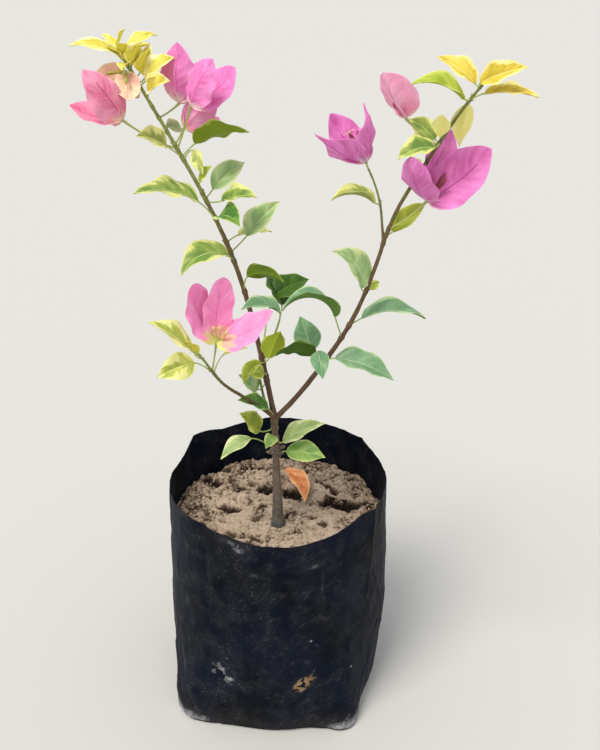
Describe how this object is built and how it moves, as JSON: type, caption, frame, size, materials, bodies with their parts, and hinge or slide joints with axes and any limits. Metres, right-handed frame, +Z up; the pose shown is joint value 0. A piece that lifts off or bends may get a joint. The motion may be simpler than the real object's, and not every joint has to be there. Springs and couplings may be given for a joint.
{
  "type": "potted bougainvillea bush",
  "caption": "Young variegated bougainvillea bush in a soft black grow bag of soil, with a short stem, forking boughs, cream-edged leaves and pink bracts.",
  "frame": {"origin": "middle of the grow bag's flat underside, where the bag stands on the ground", "axes": "+Z up along the height of the bag and plant, -Y towards the viewer of the picture, +X to that viewer's right"},
  "size_m": [0.2711, 0.1692, 0.4858],
  "materials": {
    "bag_film": "satin black film, dusty",
    "soil": "rough dry sandy soil",
    "bark": "rough young bark",
    "leaf": "soft satin leaf, cream edges",
    "bract": "papery, thin, matt",
    "dry_leaf": "dry and matt"
  },
  "bodies": {
    "root": {"grow_bag": "bag_film", "potting_soil": "soil", "main_stem": "bark", "left_bough": "bark", "right_bough": "bark", "side_shoot": "bark", "inner_shoot": "bark", "flower_twig": "bark", "left_tip_leaves": "leaf", "left_crown_leaves": "leaf", "left_upper_leaves": "leaf", "left_middle_leaves": "leaf", "left_lower_leaves": "leaf", "inner_leaves": "leaf", "stem_leaves": "leaf", "right_lower_leaves": "leaf", "right_middle_leaves": "leaf", "right_bend_leaves": "leaf", "right_upper_leaves": "leaf", "right_crown_leaves": "leaf", "right_tip_leaves": "leaf", "side_shoot_leaves": "leaf", "twig_leaves": "leaf", "left_outer_bracts": "bract", "left_tip_bracts": "bract", "left_near_bracts": "bract", "left_high_bracts": "bract", "left_small_bracts": "bract", "twig_bracts": "bract", "right_closed_bracts": "bract", "right_open_bracts": "bract", "side_shoot_bracts": "bract", "fallen_leaf": "dry_leaf"}
  },
  "joints": []
}
